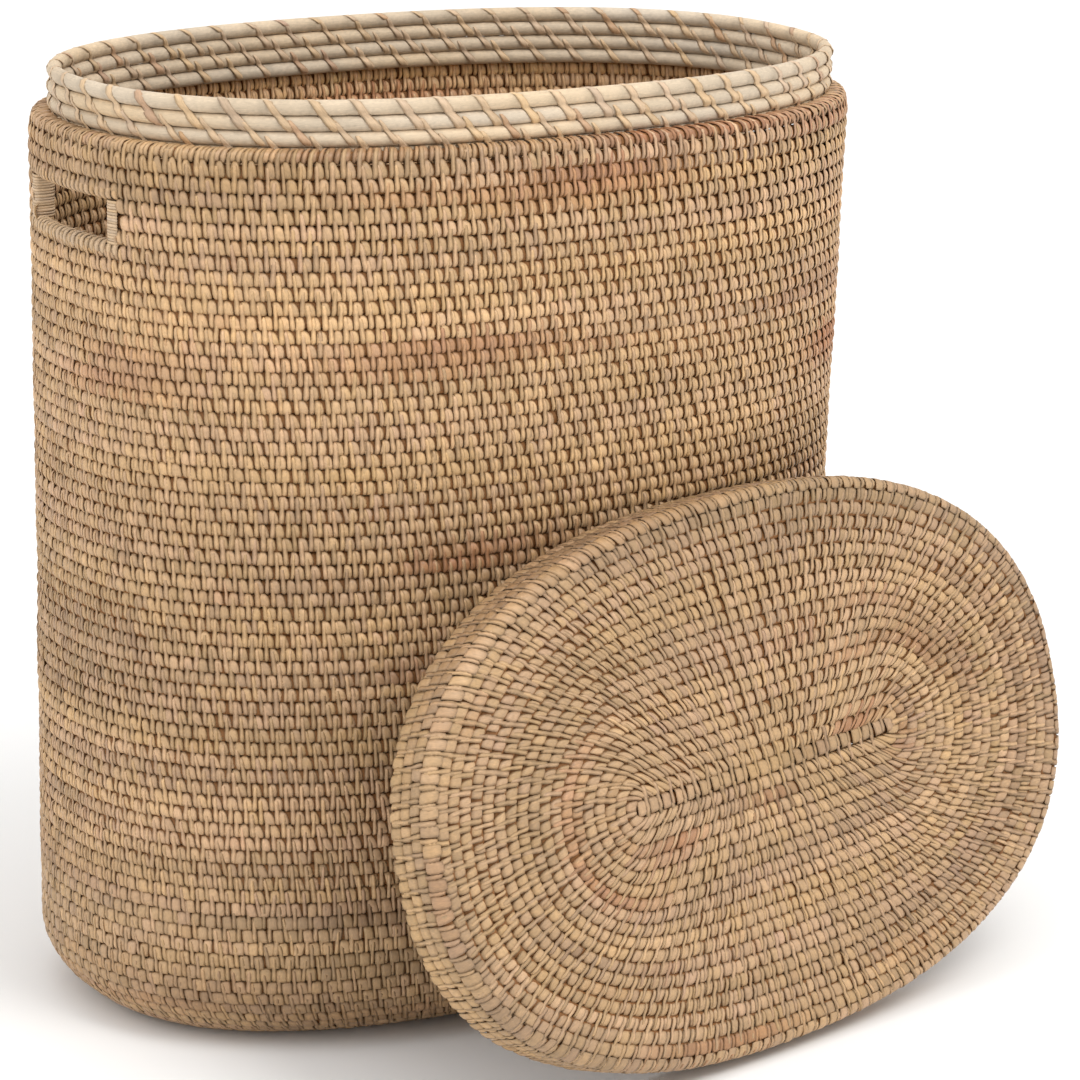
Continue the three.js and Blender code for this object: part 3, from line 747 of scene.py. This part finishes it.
def ties(name, T, outer):
    b = Batch()
    rg = np.random.default_rng(55 if outer else 56)
    for k in (1, 2, 3):
        u0 = tie_u(k)
        if not outer:
            u0 = np.mod(-u0 + 1.4 / NECK_LEN, 1.0)
        m = len(u0)
        if k == 1 and outer:
            s = np.array([-1.0, -0.85, -0.65, -0.4, -0.1, 0.2, 0.45, 0.7, 0.9, 1.1, 1.35, 1.6, 1.82, 1.97, 2.05])
            x = np.interp(s, [-1.0, 0, 0.5, 1.0, 1.5, 2.05], [-5.8, 0.6, 4.4, 7.9, 12.0, 15.8])
            w = np.interp(s, [-1.0, 0, 0.6, 1.0, 1.5, 2.05], [2.0, 2.5, 2.7, 3.0, 3.4, 3.2])
            h = np.interp(s, [-1.0, -0.85, 0, 0.5, 1.0, 1.5, 1.85, 1.97, 2.05], [-0.9, 0.35, 0.5, 0.5, 0.35, 0.55, 0.25, -0.5, -1.4])
        else:
            s = k - 1 + np.array([0.12, 0.25, 0.45, 0.65, 0.85, 1.05, 1.25, 1.5, 1.75, 1.9, 2.0])
            t = s - (k - 1)
            x = np.interp(t, [0.12, 0.5, 1.0, 1.5, 2.0], [2.4, 4.6, 8.0, 12.0, 15.6])
            w = np.interp(t, [0.12, 0.25, 0.6, 1.0, 1.5, 2.0], [0.4, 1.1, 1.9, 2.5, 3.0, 2.9])
            h = np.interp(t, [0.12, 0.25, 0.5, 1.0, 1.5, 1.8, 1.9, 2.0], [-0.9, 0.1, 0.45, 0.45, 0.6, 0.3, -0.3, -1.2])
        X = np.array([-1.0, -0.4, 0.4, 1.0])
        u = x[None, :, None] + w[None, :, None] * X[None, None, :] * (1 + 0.10 * rg.standard_normal(m))[:, None, None] + (0.35 * rg.standard_normal(m))[:, None, None]
        hh = h[None, :, None] - 0.28 * (np.abs(X) ** 2)[None, None, :] + 0.06 + np.clip(0.08 * rg.standard_normal(m), -0.05, 0.2)[:, None, None]
        u = np.concatenate([u, u.mean(2, keepdims=True)], 2)
        hh = np.concatenate([hh, hh[:, :, 1:2] - 1.0], 2)
        ss_ = np.broadcast_to(s[None, :, None], u.shape)
        P, N = sample(T, ss_, u0[:, None, None] + u / NECK_LEN)
        pos = P + N * hh[..., None]
        col = TONES["cane"] * 0.6 + TONES["pale"] * 0.4
        hue = rg.standard_normal(m)[:, None]
        c = col[None, :] * (1 + 0.05 * rg.standard_normal(m)[:, None]) * (1 + 0.05 * hue * np.array([0.4, 0.1, -1.0])[None, :])
        redk = (rg.random(m) < 0.10)[:, None] * 0.35
        c = c * (1 - redk) + TONES["red"] * redk
        xx = np.broadcast_to(np.append(X, 0.0)[None, None, :], u.shape)
        # painted shade: each tie's colour darkens towards both edges
        cc = c[:, None, None, :] * (1 - 0.18 * np.abs(xx) ** 3)[..., None]
        fib = np.stack([xx * 1.8, np.broadcast_to(s[None, :, None] * 9.1, u.shape), np.broadcast_to((np.arange(m) * 0.77 + k * 9.1)[:, None, None], u.shape)], -1)
        b.grid(pos, cc, fib)
    return b.build(name, M_WRAP, "basket", [])


ties("neck_ties_outside", neck_table(True), True)
ties("neck_ties_inside", neck_table(False), False)


# ----------------------------------------------------------------------------------------
# hand openings: wrapped sill, grip and jambs at each end
# ----------------------------------------------------------------------------------------
def wall_point(y, z, inset, side):
    """A point of the end wall at height z, across position y and depth inset, side +1 or -1 along X."""
    k = taper(z)
    a, b = HALF_L * k - inset, HALF_W * k - inset
    x = a * (1 - np.abs(y / b) ** OVAL_N) ** (1 / OVAL_N)
    return np.stack([np.broadcast_to(side * x, np.broadcast(y, z, inset).shape), np.broadcast_to(y, np.broadcast(y, z, inset).shape), np.broadcast_to(z, np.broadcast(y, z, inset).shape)], -1)


def wraps(batch, path_fn, centres, half, npts, seed, tone, X=(-1.0, -0.5, 0.5, 1.0), crown=0.45, depth=1.2, lean=0.0, painted_edge_shade=0.25):
    """Strips that go round an edge. path_fn(t, c) gives (point, outward normal) for t 0..1 along the strip and c across position."""
    rg = np.random.default_rng(seed)
    m = len(centres)
    t = np.linspace(0, 1, npts)
    Xa = np.array(X)
    wv = (1 + 0.08 * rg.standard_normal(m))
    cpos = centres[:, None, None] + half * wv[:, None, None] * Xa[None, None, :] + lean * (t[None, :, None] - 0.5) + 0.12 * rg.standard_normal(m)[:, None, None]
    cpos = np.broadcast_to(cpos, (m, npts, len(Xa)))
    mid = np.broadcast_to(cpos.mean(2, keepdims=True), (m, npts, 1))
    allc = np.concatenate([cpos, mid], 2)
    tt = np.broadcast_to(t[None, :, None], allc.shape)
    P, N = path_fn(tt, allc)
    h = np.concatenate([np.broadcast_to(-crown * np.abs(Xa) ** 2.2, cpos.shape), np.full((m, npts, 1), -depth)], 2) + 0.10 * rg.standard_normal(m)[:, None, None]
    V = P + N * h[..., None]
    c = tone[None, :] * (1 + 0.06 * rg.standard_normal(m)[:, None]) * (1 + 0.04 * rg.standard_normal(m)[:, None] * np.array([0.4, 0, -1.0])[None, :])
    xx = np.broadcast_to(np.append(Xa, 0.0)[None, None, :], allc.shape)
    # painted shade: the strips' colour darkens towards both edges
    cc = np.clip(c[:, None, None, :] * (1 - painted_edge_shade * np.abs(xx) ** 3)[..., None], 0.01, 0.95)
    fib = np.stack([xx * half, tt * 24.0, np.broadcast_to((np.arange(m) * 1.37 + seed)[:, None, None], allc.shape)], -1)
    batch.grid(V, cc, fib)


def edge_path(points, side):
    """points: (inset, z) stations along the path; c is the across position y. Returns a path function."""
    pts = np.array(points, float)
    L = np.concatenate([[0], np.cumsum(np.hypot(*np.diff(pts, axis=0).T))])
    L /= L[-1]

    def fn(t, c):
        ins, z = np.interp(t, L, pts[:, 0]), np.interp(t, L, pts[:, 1])
        y = c * (-side)                                 # the across position runs to the right for a viewer outside
        P = wall_point(y, z, ins, side)
        e = 0.02
        ins2, z2 = np.interp(t + e, L, pts[:, 0]), np.interp(t + e, L, pts[:, 1])
        ins1, z1 = np.interp(t - e, L, pts[:, 0]), np.interp(t - e, L, pts[:, 1])
        Tt = wall_point(y, z2, ins2, side) - wall_point(y, z1, ins1, side)
        Tc = (wall_point(y - side * 1.0, z, ins, side) - wall_point(y + side * 1.0, z, ins, side))
        N = np.cross(Tt, Tc)
        N /= np.linalg.norm(N, axis=-1, keepdims=True) + 1e-12
        return P, N
    return fn


for side, word in ((-1, "left"), (1, "right")):
    sd = side * 1.0
    # sill: from the outer face, up and over the top edge, down the inner face
    b = Batch()
    sill = [(1.2, 482.0), (0.35, 484.2), (0.45, 486.2), (1.6, 487.9), (3.3, 488.5), (5.2, 488.5), (6.9, 487.9), (8.05, 486.2), (8.15, 484.2), (7.3, 482.0)]
    # the path runs down the viewer's side, so it is reversed to keep the face outward
    fn = edge_path(sill[::-1], side)
    wraps(b, fn, np.arange(-49.0, 49.1, 4.62), 2.15, 11, 301 + side, TONES["cane"] * 0.7 + TONES["pale"] * 0.3, crown=0.7)
    b.build(word + "_sill_wrap", M_WRAP, "basket", [word + "_handle_sill"])
    # grip: from the outer face, down under the bottom edge and up the inner face
    b = Batch()
    grip = [(1.2, 520.6), (0.35, 518.4), (0.45, 516.4), (1.6, 514.7), (3.3, 514.1), (5.2, 514.1), (6.9, 514.7), (8.05, 516.4), (8.15, 518.4), (7.3, 520.6)]
    fn = edge_path(grip, side)
    wraps(b, fn, np.arange(-49.0, 49.1, 4.62), 2.15, 11, 311 + side, TONES["cane"], lean=0.5, crown=0.7)
    b.build(word + "_grip_wrap", M_WRAP, "basket", [word + "_handle_grip"])
    # jambs: round a short upright cane, in fine turns
    for end, word2 in ((-1, "front"), (1, "back")):
        b = Batch()

        def jamb(t, c, side=side, end=end):
            pts = np.array([(0.2, 51.0), (-0.2, 47.5), (0.2, 44.0), (1.9, 41.4), (5.0, 40.8), (8.5, 40.8), (11.4, 41.5), (13.0, 44.0), (13.3, 47.5), (12.4, 50.8), (8.8, 52.0)])
            L = np.concatenate([[0], np.cumsum(np.hypot(*np.diff(pts, axis=0).T))])
            L /= L[-1]
            if side * end > 0:
                t = 1 - t
            z = c

            def at(q):
                return wall_point(np.interp(q, L, pts[:, 1]) * end, z, np.interp(q, L, pts[:, 0]), side)
            P = at(t)
            Tt = at(t + 0.02) - at(t - 0.02)
            if side * end > 0:
                Tt = -Tt
            N = np.cross(Tt, np.broadcast_to(np.array([0, 0, 1.0]), Tt.shape))
            N /= np.linalg.norm(N, axis=-1, keepdims=True) + 1e-12
            return P, N
        wraps(b, jamb, np.arange(HOLE_LO + 0.6, HOLE_HI - 0.3, 1.72), 0.96, 19, 321 + side * 3 + end, TONES["cane"] * 0.6 + TONES["pale"] * 0.4, X=(-1.0, 0.0, 1.0), crown=0.10, depth=0.9, painted_edge_shade=0.10)
        b.build(word + "_jamb_wrap_" + word2, M_WRAP, "basket", [word + "_handle_jamb_" + word2])


# ----------------------------------------------------------------------------------------
# lid: three skirt rows, a smooth edge coil and a spiral top, in the lid's own frame
# ----------------------------------------------------------------------------------------
LID_YAW, LID_TILT, LID_SPIN = -0.1567, 0.2623, 0.0339
sy, cyw, st, ct = math.sin(LID_YAW), math.cos(LID_YAW), math.sin(LID_TILT), math.cos(LID_TILT)
ln = np.array([-sy * ct, -cyw * ct, st])
lr = np.array([cyw, -sy, 0.0])
rise = np.cross(ln, lr)
ax = lr * math.cos(LID_SPIN) + rise * math.sin(LID_SPIN)
ay = np.cross(ln, ax)
LID_M = np.eye(4)
LID_M[:3, 0], LID_M[:3, 1], LID_M[:3, 2] = ax, ay, ln
LID_M[:3, 3] = [0.084, -0.2371, 0.170068]

N_LID = 18
LID_S_END = 4 + N_LID


def lid_profile(under):
    def at(s):
        if not under:
            if s <= 3:                                   # skirt, from its open edge up
                z = -LID_DEPTH + (s / 3.0) * (LID_DEPTH - 7.8)
                return LID_HALF_L, LID_HALF_W, z, 0, 0
            if s <= 4:                                   # rounded edge coil
                f = s - 3
                q = f * math.pi / 2
                ins = 7.6 * (1 - math.cos(q)) * 0.62 + f * 2.0 * 0.62 + f * f * 2.3
                z = -7.8 + 7.8 * math.sin(q) ** 0.9
                return LID_HALF_L - ins, LID_HALF_W - ins, z, 0, 0
            f = min((s - 4) / N_LID, 1.0)
            i0 = 7.6 * 0.62 + 1.24 + 2.3
            a0, b0 = LID_HALF_L - i0, LID_HALF_W - i0
            b = b0 + (4.6 - b0) * f
            a = a0 + (LID_CORE + 4.6 - a0) * f
            w = 3 * f ** 2 - 2 * f ** 3
            return a, b, 0.0, w, LID_CORE
        if s <= 3:
            z = -LID_DEPTH + (s / 3.0) * (LID_DEPTH - 7.8)
            return LID_HALF_L - 8.5, LID_HALF_W - 8.5, z, 0, 0
        if s <= 4:
            f = s - 3
            return LID_HALF_L - 8.5 - 0.8 * f, LID_HALF_W - 8.5 - 0.8 * f, -7.8 + 0.6 * f, 0, 0
        f = min((s - 4) / N_LID, 1.0)
        a0, b0 = LID_HALF_L - 9.3, LID_HALF_W - 9.3
        return a0 + (LID_CORE + 4.6 - a0) * f, b0 + (4.6 - b0) * f, -7.2, 3 * f ** 2 - 2 * f ** 3, LID_CORE
    return at


T_LID = table(lid_profile(False), -0.5, LID_S_END + 0.25, True)
T_LIDU = table(lid_profile(True), -0.5, LID_S_END + 0.25, False)
LR = {r: 2 * int(round(c / 2)) for r, c in row_counts(T_LID, 0, LID_S_END, 10.1, 0).items()}
LRU = {r: 2 * int(round(c / 2)) for r, c in row_counts(T_LIDU, 0, LID_S_END, 10.1, 0).items()}
LID_STEP = 0.18
LP, LPU, p1 = {}, {}, 0.0
for r in range(LID_S_END):
    p1 += LID_STEP + 0.03 * rgp.standard_normal()
    LP[r], LPU[r] = 0.25 * LR[r] + p1, 0.25 * LRU[r] + p1
# painted shade: bright 0.82 makes the lid's cane darker than the same cane on the wall
LOOK_LID = looker(LID_S_END + 1, 150, 400, flat_rows=lambda r: [1.0, 1.0, 1.0, 1.0, 0.7, 0.4][r] if r < 6 else 0.15, wave_amp=0.03, red=0.9, bright=0.82)
add_rows("lid_skirt_weave", T_LID, [0, 1, 2], LR, LP, LOOK_LID, 4, ["lid_skirt_coil_1", "lid_skirt_coil_2", "lid_skirt_coil_3"], slot="lid", mat=M_LID, body="lid", matrix=LID_M, scale_h=0.8, cut=(0,))
add_rows("lid_edge_wrap", T_LID, [3], LR, LP, LOOK_LID, 5, ["lid_edge_coil"], slot="lid", mat=M_LID, body="lid", matrix=LID_M, scale_h=0.8, over=(3,))
add_rows("lid_weave_outer", T_LID, list(range(4, 10)), LR, LP, LOOK_LID, 4, ["lid_panel"], slot="lid", mat=M_LID, body="lid", matrix=LID_M)
add_rows("lid_weave_inner", T_LID, list(range(10, LID_S_END)), LR, LP, LOOK_LID, 4, ["lid_panel", "lid_core"], slot="lid", mat=M_LID, body="lid", matrix=LID_M)
add_rows("lid_weave_under", T_LIDU, list(range(0, LID_S_END)), LRU, LPU, LOOK_LID, 6, [], slot="lid", mat=M_LID, body="lid", matrix=LID_M, full=False, scale_h=0.8, cut=(0,))
core_rows("lid_core_rows", T_LID, T_LIDU, [0, 1, 2] + list(range(4, LID_S_END)), 200, "lid", [], matrix=LID_M, half=4.7, skin=1.3)
core_rows("lid_core_edge", T_LID, T_LIDU, [3], 200, "lid", [], matrix=LID_M, half=3.2, skin=1.6)


# straight cores at the middle of the lid and the base, stitched over like the other rows
def straight_table(L, z, sx, sz, sy=1.0):
    x = (np.arange(COLS) / COLS - 0.5) * L * sx * sy
    ss = np.linspace(-1.25, 2.25, 15)
    P = np.zeros((15, COLS, 3))
    P[:, :, 0] = x[None, :]
    P[:, :, 1] = ((4.6 - ss * 9.2) * sy)[:, None]
    P[:, :, 2] = z
    N = np.zeros_like(P)
    N[..., 2] = sz
    return {"P": P, "N": N, "s0": -1.25, "ds": 0.25, "n": 15, "ss": ss, "L": np.full(15, L)}


def place_in_cell(T, row, n, phase, side):
    """Where the ring row's stitches stand at x 0 on one long side, as a share of a cell."""
    us = np.arange(4000) / 4000
    P, _ = sample(T, np.full(4000, row + 0.5), us)
    j = np.where(P[:, 1] * side > 0)[0]
    j = j[np.argmin(np.abs(P[j, 0]))]
    return (us[j] * n - phase) % 1.0


def centre_row(name, core, z, sx, sz, body, nodes, look, seed, ring_row, matrix=None, rod=True):
    """ring_row: the table, number, stitch count and phase of the innermost ring, which this row lines up with."""
    Tr, r0, nr, pr = ring_row
    f = (place_in_cell(Tr, r0, nr, pr, 1.0) - LID_STEP) % 1.0
    pitch = np.interp(r0 + 0.5, Tr["ss"], Tr["L"]) / nr
    k = int(round((core + 5.0) / pitch - f))
    pitch = (core + 5.0) / (f + k)
    n = 2 * (k + 4)
    T = straight_table(n * pitch, z, sx, sz)
    b = Batch()
    ph = (n / 2 - f) % 1.0
    stitch_rows(b, T, [0], {0: n}, {0: ph}, look, seed, keep=lambda r, P: np.abs(P[:, 0]) < core + 6.5)
    # strands that come over from the other side
    Tm = straight_table(n * pitch, z, sx, sz, -1.0)
    stitch_rows(b, Tm, [0], {0: n}, {0: (n / 2 + f - 1.70) % 1.0}, look, seed + 50, keep=lambda r, P: np.abs(P[:, 0]) < core + 1.0, reach=0.42)
    if rod:
        q = np.arange(8) / 8 * 2 * math.pi
        xs = np.linspace(-core - 3, core + 3, 24)
        V = np.zeros((24, 8, 3))
        V[..., 0] = xs[:, None]
        V[..., 1] = 4.0 * np.cos(q)[None, :]
        V[..., 2] = z - sz * 4.35 + 2.8 * np.sin(q)[None, :]
        fib = np.stack([np.broadcast_to(q[None, :] * 3.0, (24, 8)), np.broadcast_to(xs[:, None], (24, 8)), np.full((24, 8), 3.0)], -1)
        b.grid(V[None], CORE_AND_GAP_SHADE, fib[None])
    return b.build(name, M_LID if body == "lid" else M_WALL, body, nodes, matrix)


rl, rb = LID_S_END - 1, S_END - 1
centre_row("lid_centre_row", LID_CORE, 0.0, 1.0, 1.0, "lid", ["lid_core"], LOOK_LID, 31, (T_LID, rl, LR[rl], LP[rl]), LID_M)
centre_row("lid_centre_row_under", LID_CORE, -7.2, -1.0, -1.0, "lid", ["lid_core"], LOOK_LID, 32, (T_LIDU, rl, LRU[rl], LPU[rl]), LID_M, rod=False)
centre_row("base_centre_row", BASE_CORE, 0.0, -1.0, -1.0, "basket", ["base_core"], LOOK_OUT, 33, (T_OUT, rb, ROWS_OUT[rb], PH_OUT[rb]))
centre_row("base_centre_row_inside", BASE_CORE, WALL_T, 1.0, 1.0, "basket", ["base_core"], LOOK_IN, 34, (T_IN, rb, ROWS_IN[rb], PH_IN[rb]), rod=False)

# ----------------------------------------------------------------------------------------
# floor, light and camera
# ----------------------------------------------------------------------------------------
me = bpy.data.meshes.new("floor")
S = 30.0
me.from_pydata([(-S, -S, 0), (S, -S, 0), (S, S, 0), (-S, S, 0)], [], [(0, 1, 2, 3)])
floor = bpy.data.objects.new("floor", me)
bpy.context.scene.collection.objects.link(floor)
fm = bpy.data.materials.new("floor_paper")
fm.use_nodes = True
fb = fm.node_tree.nodes["Principled BSDF"]
fb.inputs["Base Color"].default_value = (0.88, 0.88, 0.875, 1)
fb.inputs["Roughness"].default_value = 0.9
fb.inputs["Specular IOR Level"].default_value = 0.1
me.materials.append(fm)

world = bpy.data.worlds.new("studio")
bpy.context.scene.world = world
world.use_nodes = True
bg = world.node_tree.nodes["Background"]
bg.inputs["Color"].default_value = (1.0, 1.0, 1.0, 1)
bg.inputs["Strength"].default_value = 0.86


def sun(name, direction, strength, angle, colour=(1, 1, 1)):
    d = bpy.data.lights.new(name, "SUN")
    d.energy, d.angle, d.color = strength, angle, colour
    o = bpy.data.objects.new(name, d)
    o.rotation_euler = Vector(direction).to_track_quat("-Z", "Y").to_euler()
    bpy.context.scene.collection.objects.link(o)
    return o


V_D = Vector((0.554486, 0.789168, -0.264120))
V_R = Vector((0.818223, -0.574901, 0.0))
V_U = Vector((0.151843, 0.216109, 0.964490))
key_from = (-V_D) * 0.55 + V_R * 0.75 + Vector((0, 0, 1)) * 1.15
sun("key", -key_from, 0.45, math.radians(28), (1.0, 0.985, 0.96))
box = bpy.data.lights.new("softbox", "AREA")
box.shape, box.size, box.energy, box.color = "SQUARE", 1.0, 11.0, (1.0, 0.99, 0.97)
ob = bpy.data.objects.new("softbox", box)
ob.location = (0.30, -1.15, 1.72)
ob.rotation_euler = (Vector((0.0, -0.1, 0.36)) - ob.location).to_track_quat("-Z", "Y").to_euler()
bpy.context.scene.collection.objects.link(ob)
fill_from = (-V_D) * 0.35 - V_R * 1.0 + Vector((0, 0, 1)) * 0.45
sun("fill", -fill_from, 0.7, math.radians(50), (0.97, 0.985, 1.0))
sun("top", (0.10, 0.12, -1.0), 0.6, math.radians(60), (1.0, 0.995, 0.985))

cam = bpy.data.cameras.new("camera")
cam.sensor_width = 36.0
cam.lens = 4257.7 / 1080.0 * 36.0
cam.clip_start, cam.clip_end = 0.05, 100.0
co = bpy.data.objects.new("camera", cam)
roll = math.radians(1.6957)
R2 = V_R * math.cos(roll) + V_U * math.sin(roll)
U2 = V_U * math.cos(roll) - V_R * math.sin(roll)
mw = Matrix.Identity(4)
for i in range(3):
    mw[i][0], mw[i][1], mw[i][2] = R2[i], U2[i], -V_D[i]
mw[0][3], mw[1][3], mw[2][3] = -1.437739, -2.155768, 0.977027
co.matrix_world = mw
bpy.context.scene.collection.objects.link(co)
bpy.context.scene.camera = co

bpy.context.scene.view_settings.view_transform = "Standard"
bpy.context.scene.view_settings.look = "None"
